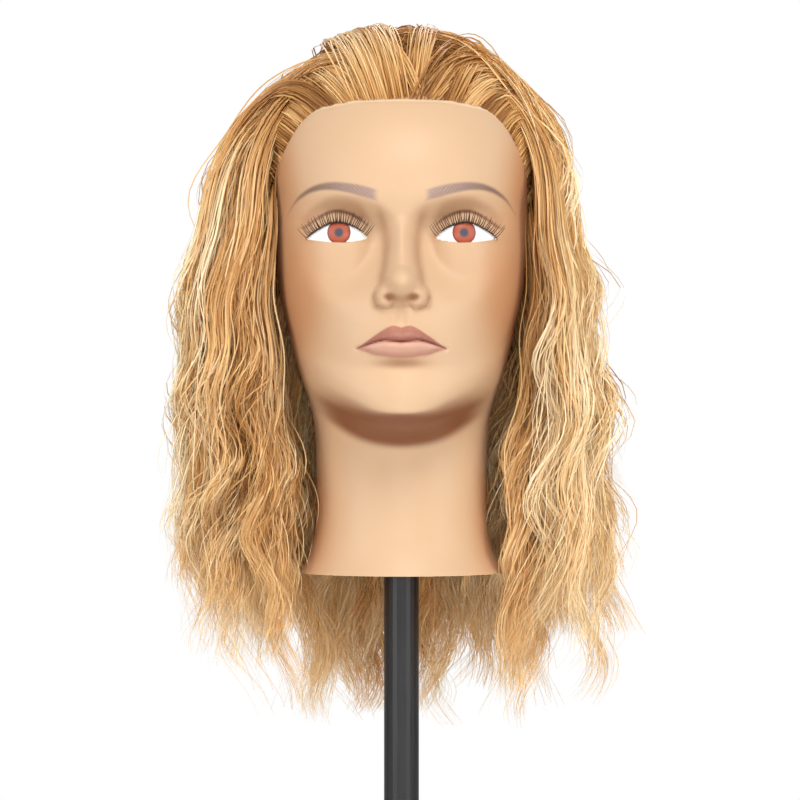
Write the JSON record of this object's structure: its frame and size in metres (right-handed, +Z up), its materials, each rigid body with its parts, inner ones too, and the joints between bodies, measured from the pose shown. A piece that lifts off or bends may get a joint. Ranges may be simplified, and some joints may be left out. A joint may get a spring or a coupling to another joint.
{
  "type": "mannequin training head",
  "caption": "Mannequin training head with long wavy rooted hair, turning on a pole that tilts and slides in a table-edge screw clamp.",
  "frame": {"origin": "on the table top, at the flat underside of the clamp's upper jaw pad, on the pole's axis", "axes": "+Z up along the pole; the face looks along -Y; the table comes into the clamp from +Y; +X is the head's own left"},
  "size_m": [0.2482, 0.2261, 0.7284],
  "materials": {
    "skin_vinyl": "satin",
    "foam": "matte",
    "socket_plastic": "matte",
    "black_plastic": "matte",
    "eye": "gloss",
    "lashes": "matte",
    "hair": "satin",
    "black_enamel": "satin",
    "zinc_steel": "satin",
    "rubber": "matte",
    "brass": "satin"
  },
  "bodies": {
    "clamp": {"clamp_frame": "black_enamel", "fork_screw_front": "zinc_steel", "fork_screw_back": "zinc_steel", "jaw_pad": "rubber", "thread_insert": "brass", "tilt_fork": "black_enamel", "tilt_bolt": "zinc_steel", "tilt_washer": "zinc_steel"},
    "tilting_sleeve": {"pole_sleeve": "black_enamel"},
    "height_lock": {"height_stud": "zinc_steel", "height_knob": "black_plastic"},
    "tilt_lock": {"tilt_knob": "black_plastic"},
    "mast": {"pole": "black_enamel", "pole_top_plug": "black_plastic", "pole_foot_plug": "black_plastic"},
    "head": {"head_shell": "skin_vinyl", "foam_core": "foam", "neck_plate": "socket_plastic", "neck_socket": "socket_plastic", "swivel_bush": "black_plastic", "left_eye": "eye", "right_eye": "eye", "left_lashes": "lashes", "right_lashes": "lashes", "hair_crown": "hair", "hair_left_side": "hair", "hair_right_side": "hair", "hair_back": "hair"},
    "pressure_pad": {"pressure_disc": "zinc_steel", "pad_rubber": "rubber"},
    "screw": {"clamp_screw": "zinc_steel"},
    "bar": {"tommy_bar": "zinc_steel", "bar_cap_left": "black_plastic", "bar_cap_right": "black_plastic"}
  },
  "joints": [
    {"name": "mast_tilt", "type": "hinge", "parent": "clamp", "child": "tilting_sleeve", "pos_m": [0, 0, 0.046], "axis": [1, 0, 0], "range_deg": [-40, 40]},
    {"name": "tilt_lock_turn", "type": "hinge", "parent": "clamp", "child": "tilt_lock", "pos_m": [0.03, 0, 0.046], "axis": [1, 0, 0], "range_deg": [-180, 180]},
    {"name": "mast_height", "type": "slide", "parent": "tilting_sleeve", "child": "mast", "axis": [0, 0, 1], "range_m": [-0.005, 0.025]},
    {"name": "height_lock_turn", "type": "hinge", "parent": "tilting_sleeve", "child": "height_lock", "pos_m": [0.03, 0, 0.108], "axis": [1, 0, 0], "range_deg": [-180, 180]},
    {"name": "head_turn", "type": "hinge", "parent": "mast", "child": "head", "pos_m": [0, 0, 0.315], "axis": [0, 0, 1], "continuous": true},
    {"name": "pad_travel", "type": "slide", "parent": "clamp", "child": "pressure_pad", "axis": [0, 0, 1], "range_m": [-0.021, 0.036]},
    {"name": "screw_turn", "type": "hinge", "parent": "pressure_pad", "child": "screw", "pos_m": [0, 0.004, -0.1], "axis": [0, 0, 1], "range_deg": [-2520, 4320]},
    {"name": "bar_slide", "type": "slide", "parent": "screw", "child": "bar", "axis": [1, 0, 0], "range_m": [-0.028, 0.028]}
  ],
  "couplings": [
    {"joint": "pad_travel", "follows": "screw_turn", "m_per_rad": 0.00047746}
  ]
}
